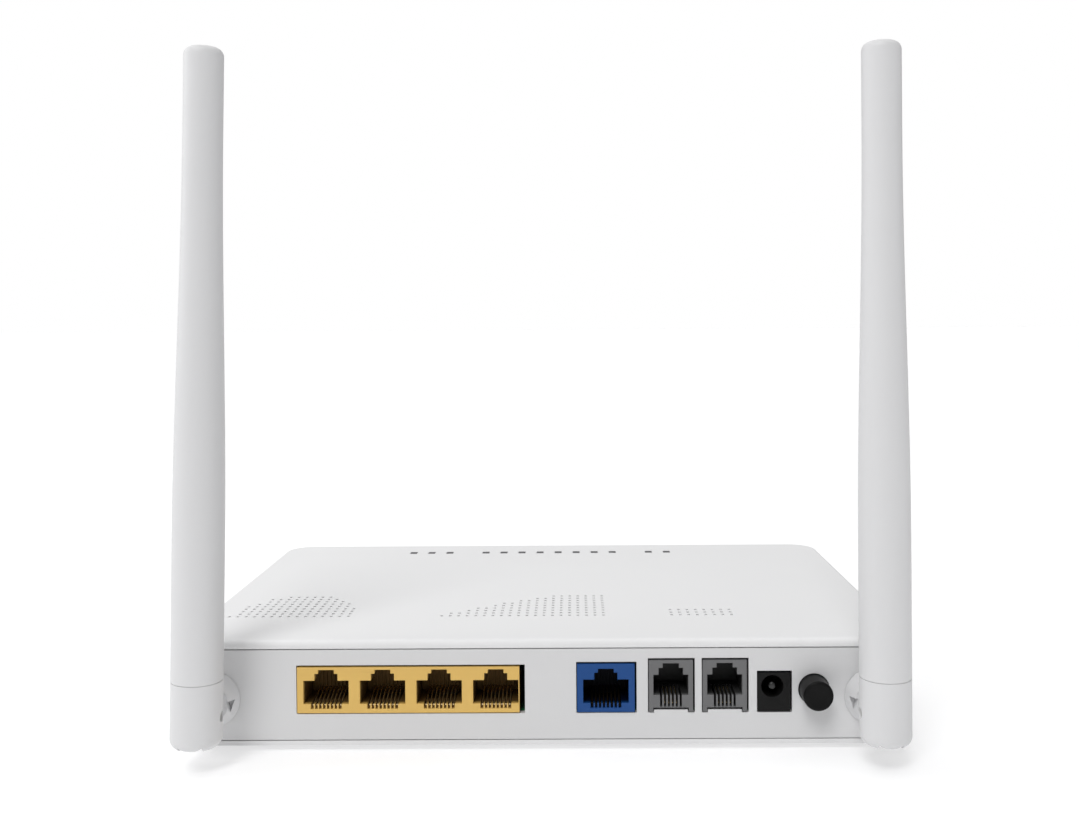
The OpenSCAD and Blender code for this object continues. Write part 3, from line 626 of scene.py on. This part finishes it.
for side in ("left", "right"):
    tube = lattice(side + "_tube", on_hinge(side, turned(tube_profile(), TUBE_SIDES)))
    stands_for(tube, side + "_antenna_tube", antenna_white)
    print(tube.name, "has", len(tube.data.polygons), "faces")

# %% [markdown]
# ## Contact wires
#
# Behind the mouth of a network socket, eight gilded spring wires rise from the floor at a
# slant. Each is a round wire bent in one plane, so it is a profile carried along a path: a
# small circle, set square to the path. Because the bend is flat, the circle's first direction
# is always X, and its second is the cross product of X and the path's direction. All the wires
# of a socket come from one array, moved along X by the contact spacing.
#
# The wires of the single socket start further back and are gold darkened to near black, painted shade, so that its
# mouth stays dark. A telephone socket has four wires, which end at a slant.

# %% Contact wires
WIRE_R, WIRE_SIDES, CONTACT_PITCH = 0.21, 10, 1.02
BEND_R, BEND_STEPS = 0.5, 5
LAN_PITCH, PHONE_PITCH = 14.75, 14.0


def rounded_path(corners):
    """A path with its inner corners rounded: each corner is replaced by a quadratic curve that
    starts and ends at BEND_R from the corner, along its two legs. Over the curve t goes from 0
    to 1, and a point is (1 - t)^2 x start + 2 t (1 - t) x corner + t^2 x stop."""
    corners = np.array(corners, float)
    before, corner, after = corners[:-2], corners[1:-1], corners[2:]
    start = corner + BEND_R * (before - corner) / np.linalg.norm(before - corner, axis=1)[:, None]
    stop = corner + BEND_R * (after - corner) / np.linalg.norm(after - corner, axis=1)[:, None]
    start, corner, stop = start[:, None], corner[:, None], stop[:, None]
    t = np.linspace(0, 1, BEND_STEPS + 1)[None, :, None]
    curve = (1 - t) ** 2 * start + 2 * t * (1 - t) * corner + t**2 * stop
    return np.concatenate((corners[:1], curve.reshape(-1, 2), corners[-1:]))


def wires(path, spots):
    """Round wires along one path in Y and Z, repeated at each X of spots, with closed ends.
    Shape (wires, rows, sides + 1, 3)."""
    slope = np.gradient(path, axis=0)
    slope /= np.linalg.norm(slope, axis=1)[:, None]
    angle = np.linspace(0, 2 * np.pi, WIRE_SIDES + 1)
    ends = np.ones(len(path) + 2)
    ends[[0, -1]] = 0
    path = np.concatenate((path[:1], path, path[-1:]))
    slope = np.concatenate((slope[:1], slope, slope[-1:]))
    swing = WIRE_R * ends[:, None]
    x = swing * np.cos(angle)
    y = path[:, :1] - slope[:, 1:] * swing * np.sin(angle)
    z = path[:, 1:] + slope[:, :1] * swing * np.sin(angle)
    one = np.stack((x, y, z), axis=-1)
    spots = np.array(spots, float)[:, None, None]
    many = np.broadcast_to(one, (len(spots), *one.shape)).copy()
    many[..., 0] += spots
    return many


def centred(count, pitch):
    """Places along X of a row of things that is centred on 0."""
    return [(k - (count - 1) / 2) * pitch for k in range(count)]


def socket_centres(node, count, pitch):
    """X of each socket's middle, in millimetres, from the box of its contacts."""
    low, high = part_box(node)
    middle = (low.x + high.x) / 2 / MM
    return [middle + place_x for place_x in centred(count, pitch)]


def contact_row(node, name, sockets, contacts, corners):
    """All the wires of one contact node. The corners are distances behind the front of the
    node's box and above its floor."""
    low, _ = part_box(node)
    path = rounded_path(corners) + np.array((low.y, low.z)) / MM
    spots = [x + place_x for x in sockets for place_x in centred(contacts, CONTACT_PITCH)]
    return lattice(name, wires(path, spots) * MM)


EIGHT_WIRES = [(0.02, 0.22), (1.2, 0.22), (7.1, 1.88), (10.08, 1.88)]
HIDDEN_WIRES = [(1.0, 0.22), (1.4, 0.22), (7.1, 1.80), (10.08, 1.80)]
FOUR_WIRES = [(0.2, 0.30), (0.7, 0.35), (6.5, 2.55)]
lan_spots = socket_centres("lan_jack_contacts", 4, LAN_PITCH)
wan_spots = socket_centres("wan_jack_contacts", 1, 0)
phone_spots = socket_centres("phone_jack_contacts", 2, PHONE_PITCH)
lan_wires = contact_row("lan_jack_contacts", "lan_wires", lan_spots, 8, EIGHT_WIRES)
wan_wires = contact_row("wan_jack_contacts", "wan_wires", wan_spots, 8, HIDDEN_WIRES)
phone_wires = contact_row("phone_jack_contacts", "phone_wires", phone_spots, 4, FOUR_WIRES)
stands_for(lan_wires, "lan_jack_contacts", gold_flash)
stands_for(wan_wires, "wan_jack_contacts", gold_in_painted_shade)
stands_for(phone_wires, "phone_jack_contacts", gold_flash)
print("socket centres:", [round(x, 2) for x in lan_spots + wan_spots + phone_spots])

# %% [markdown]
# ## More turned pieces
#
# The power inlet's pin, the power button and the rubber feet are turned shapes too. The pin has
# a rounded nose. The button's rim is rounded and its face is dished for a fingertip: the dish is
# a shallow parabola. Behind the cap a square stem reaches the switch. A foot has a rounded rim
# and a slightly dished base, which grips better than a flat one.

# %% Inlet pin
NOSE_SHARE, PIN_SIDES = 0.65, 48


def along_minus_y(points):
    """Turns points drawn about Z so that their Z runs along -Y."""
    return np.stack((points[..., 0], -points[..., 2], points[..., 1]), axis=-1)


pin_low, pin_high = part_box("dc_jack_pin")
pin_r = (pin_high.x - pin_low.x) / 2 / MM
pin_length = (pin_high.y - pin_low.y) / MM
nose_r = NOSE_SHARE * pin_r
pin_profile = [(0, 0), (pin_r, 0)] + arc((pin_r - nose_r, pin_length - nose_r), nose_r, 0, 90)
pin_profile.append((0, pin_length))
pin_root = np.array(((pin_low.x + pin_high.x) / 2, pin_high.y, (pin_low.z + pin_high.z) / 2))
inlet_pin = lattice("inlet_pin", along_minus_y(turned(pin_profile, PIN_SIDES)) * MM + pin_root)
stands_for(inlet_pin, "dc_jack_pin", pin_nickel_in_painted_shade)
print("inlet pin", round(pin_length, 2), "mm long")

# %% Power button
CAP_R, CAP_LENGTH, CAP_RIM, CAP_SIDES = 3.85, 8.4, 0.65, 96
DISH_DEPTH, DISH_STEPS, STEM_HALF = 0.25, 8, 1.0
button_low, button_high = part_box("power_button")
button_axis = np.array((button_low.x + button_high.x, 0, button_low.z + button_high.z)) / 2
face_spot = button_axis + (0, button_low.y, 0)
rim_edge = CAP_R - CAP_RIM
dish_r = np.linspace(rim_edge, 0, DISH_STEPS + 1)[1:]
dish = [(r, -DISH_DEPTH * (1 - (r / rim_edge) ** 2)) for r in dish_r]
cap_profile = [(0, -CAP_LENGTH), (CAP_R, -CAP_LENGTH)]
cap_profile += arc((rim_edge, -CAP_RIM), CAP_RIM, 0, 90) + dish
cap_points = along_minus_y(turned(cap_profile, CAP_SIDES)) * MM + face_spot
button_cap = lattice("button_cap", cap_points)
stands_for(button_cap, "power_button", button_black)
stem_length = (button_high.y - button_low.y) / MM - CAP_LENGTH
stem_r = STEM_HALF * math.sqrt(2)
stem = turned([(0, 0), (stem_r, 0), (stem_r, stem_length), (0, stem_length)], 4)
across, up, along = np.moveaxis(stem, -1, 0)
cos_45 = math.cos(math.radians(45))
stem = np.stack(((across - up) * cos_45, -along, (across + up) * cos_45), axis=-1)
button_stem = lattice("button_stem", stem * MM + button_axis + (0, button_high.y, 0))
button_stem.data.materials.append(button_black)
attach(button_stem, body_of("power_button"))
slot_of("power_button")
print("button cap", 2 * CAP_R, "mm across, stem", round(stem_length, 2), "mm long")

# %% Rubber feet
FOOT_R, FOOT_H, FOOT_RIM, FOOT_SIDES = 5.0, 2.0, 0.6, 64
HOLLOW_MIDDLE, HOLLOW_EDGE, HOLLOW_IN, RING_IN = 0.12, 0.10, 1.6, 1.3
foot_low, foot_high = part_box("rubber_feet")
foot_profile = [(0, HOLLOW_MIDDLE), (FOOT_R - HOLLOW_IN, HOLLOW_EDGE), (FOOT_R - RING_IN, 0)]
foot_profile += arc((FOOT_R - FOOT_RIM, FOOT_RIM), FOOT_RIM, -90, 0)
foot_profile += [(FOOT_R, FOOT_H), (0, FOOT_H)]
reach = np.array(((foot_high.x - foot_low.x) / 2, (foot_high.y - foot_low.y) / 2)) - FOOT_R * MM
middle_y = (foot_high.y + foot_low.y) / 2
corners = [(sx * reach[0], middle_y + sy * reach[1], 0) for sx in (-1, 1) for sy in (-1, 1)]
feet_points = turned(foot_profile, FOOT_SIDES) * MM + np.array(corners)[:, None, None, :]
stands_for(lattice("feet", feet_points), "rubber_feet", foot_rubber)
print("feet", 2 * FOOT_R, "mm across")

# %% [markdown]
# ## Comb fins in the sockets
#
# Between the wires of a network socket stand thin fins of the jack's own plastic, which keep
# the wires apart. They are too fine for the CAD model, but they show in the mouth of the
# socket. Each is a small block with its upper rear corner cut off, drawn as a closed strip and
# repeated along X.

# %% Comb fins
FIN_W, FINS_PER_SOCKET, SOCKET_FLOOR = 0.34, 7, 11.1
FIN_PATH = [(0.05, 0.02), (0.05, 1.28), (4.6, 1.28), (7.2, 0.02)]


def fins(name, sockets, floor, front):
    """Fins between eight wires: the outline in Y and Z, made solid along X. Each fin is a grid
    of four rows: a point, the outline on one side, the outline on the other side, a point."""
    outline = np.array(FIN_PATH + FIN_PATH[:1]) + np.array((front, floor))
    middle = np.broadcast_to(outline[:-1].mean(axis=0), outline.shape)
    rows = np.stack((middle, outline, outline, middle))
    x = np.array((-0.5, -0.5, 0.5, 0.5)) * FIN_W
    x = np.broadcast_to(x[:, None], rows.shape[:2])
    one = np.stack((x, rows[..., 0], rows[..., 1]), axis=-1)
    places = centred(FINS_PER_SOCKET, CONTACT_PITCH)
    spots = np.array([x + place_x for x in sockets for place_x in places])
    many = one[None] + np.stack((spots, 0 * spots, 0 * spots), axis=-1)[:, None, None, :]
    return lattice(name, many * MM)


for name, node, sockets, finish in (
    ("lan_fins", "lan_jack_housing", lan_spots, jack_yellow),
    ("wan_fins", "wan_jack_housing", wan_spots, jack_blue),
):
    piece = fins(name, sockets, SOCKET_FLOOR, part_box(node)[0].y / MM)
    piece.data.materials.append(finish)
    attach(piece, "case")
    slot_of(node)
    print(name, len(piece.data.polygons), "faces")

# %% [markdown]
# ## Finishes for the CAD pieces that stay
#
# What is inside keeps its CAD shape and gets its finish only. Most of it shows through a
# socket, a cooling slot or not at all until the case is opened.

# %% Finishes of the CAD pieces
KEPT = {
    "light_pipes": smoked_guide,
    "case_screws": zinc,
    "main_board": board_green,
    "board_screws": zinc,
    "power_switch": chip_resin,
    "status_leds": led_resin,
    "soc_chip": chip_resin,
    "heatsink": fin_metal,
    "memory_chip": chip_resin,
    "flash_chip": chip_resin,
    "wifi_chip": chip_resin,
    "wifi_shield": tin_plate,
    "lan_transformers": chip_resin,
    "wan_transformer": chip_resin,
    "line_chips": chip_resin,
    "capacitors": sleeve_navy,
    "inductors": chip_resin,
    "crystals": tin_plate,
    "ferrule_sleeve": ceramic,
    "optical_module": tin_plate,
    "rf_connectors": gold_flash,
    "left_coax_lead": lead_jacket,
    "right_coax_lead": lead_jacket,
    "left_hinge_pin": zinc,
    "right_hinge_pin": zinc,
    "left_radiator": copper,
    "right_radiator": copper,
    "left_antenna_coax": lead_jacket,
    "right_antenna_coax": lead_jacket,
}
for node, finish in KEPT.items():
    materials = frame["nodes"][node].data.materials
    materials.clear()
    materials.append(finish)
replaced = {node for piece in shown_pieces() for node in piece.get("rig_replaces", [])}
bare = sorted(set(frame["nodes"]) - set(KEPT) - replaced)
print("CAD pieces without a finish:", bare)

# %% [markdown]
# ## Floor and light
#
# The set is a pale floor that runs far back. A softbox stands close by on the left. It shades
# the round antennas from left to right, and because it is close, the right antenna gets less.
# Two far lights are suns with wide discs. One is above and in front, and its soft shadow falls
# below the button and the hinges. A broad one overhead makes the cover brighter than the port
# face. The world is white at full strength where it is seen behind the unit, but lights the
# unit at a fifth of that, so that the shadows aren't washed out.

# %% Floor
FLOOR_HALF, FLOOR_GLOW = 12.0, 0.41


def floor_finish():
    """Pale, matt paper: an even colour with a faint mottle. A weak glow stands for the light
    that comes through a translucent table, and keeps the shadows under the unit faint."""
    finish = Finish("floor_paper")
    mottle = noise(finish, 60, 3)
    return finish.surface(
        base_color=blend_colours(finish, mottle, (0.66, 0.66, 0.665), (0.64, 0.64, 0.645)),
        roughness=0.9,
        specular_ior_level=0.1,
        emission_color=(1, 1, 1),
        emission_strength=FLOOR_GLOW,
    )


span = np.array((-FLOOR_HALF, FLOOR_HALF))
floor_points = np.stack(np.broadcast_arrays(span[:, None], span[None, :], 0.0), axis=-1)[None]
floor = lattice("floor", floor_points)
floor.data.materials.append(floor_finish())
floor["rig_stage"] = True

# %% Lights
WORLD_LIGHTS, WORLD_SEEN = 0.2, 1.0


def lamp(name, kind, direction, energy):
    """A light that shines from a direction. Energy is a sun's strength or an area's watts."""
    light = bpy.data.objects.new(name, bpy.data.lights.new(name, kind))
    light.data.energy = energy
    light.rotation_euler = Vector(direction).to_track_quat("Z", "Y").to_euler()
    bpy.context.scene.collection.objects.link(light)
    return light


def sun(name, direction, strength, disc_degrees):
    """A far light. The wider its disc, the softer its shadows."""
    light = lamp(name, "SUN", direction, strength)
    light.data.angle = math.radians(disc_degrees)


def softbox(name, at, aim, watts, size):
    """A square area light with sides of `size`, at one place and aimed at another, in metres."""
    light = lamp(name, "AREA", Vector(at) - Vector(aim), watts)
    light.data.size = size
    light.location = at
    light.visible_camera = False


softbox("side_left", (-0.42, 0.0, 0.30), (0, 0, 0.08), 0.62, 0.35)
sun("above_front", (-0.35, -1.0, 1.25), 1.2, 24)
sun("overhead", (0.0, 0.2, 1.0), 1.45, 90)

world = bpy.data.worlds.new("studio")
bpy.context.scene.world = world
world.use_nodes = True
nodes, links = world.node_tree.nodes, world.node_tree.links
seen = nodes.new("ShaderNodeLightPath")
level = nodes.new("ShaderNodeMapRange")
level.inputs["To Min"].default_value = WORLD_LIGHTS
level.inputs["To Max"].default_value = WORLD_SEEN
links.new(seen.outputs["Is Camera Ray"], level.inputs["Value"])
links.new(level.outputs["Result"], nodes["Background"].inputs["Strength"])
nodes["Background"].inputs["Color"].default_value = (1, 1, 1, 1)
bpy.context.scene.view_settings.view_transform = "Standard"

# %% [markdown]
#
# The box of all that shows is printed as its difference from the CAD box. The two should agree to a fraction of a
# millimetre, because everything here is hard plastic or metal.

# %% Size and finish
visual_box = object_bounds()
pairs = [(v, c) for seen_at, cad_at in zip(visual_box, cad_box) for v, c in zip(seen_at, cad_at)]
print("visual box minus CAD box, in mm:", [round((v - c) / MM, 3) for v, c in pairs])
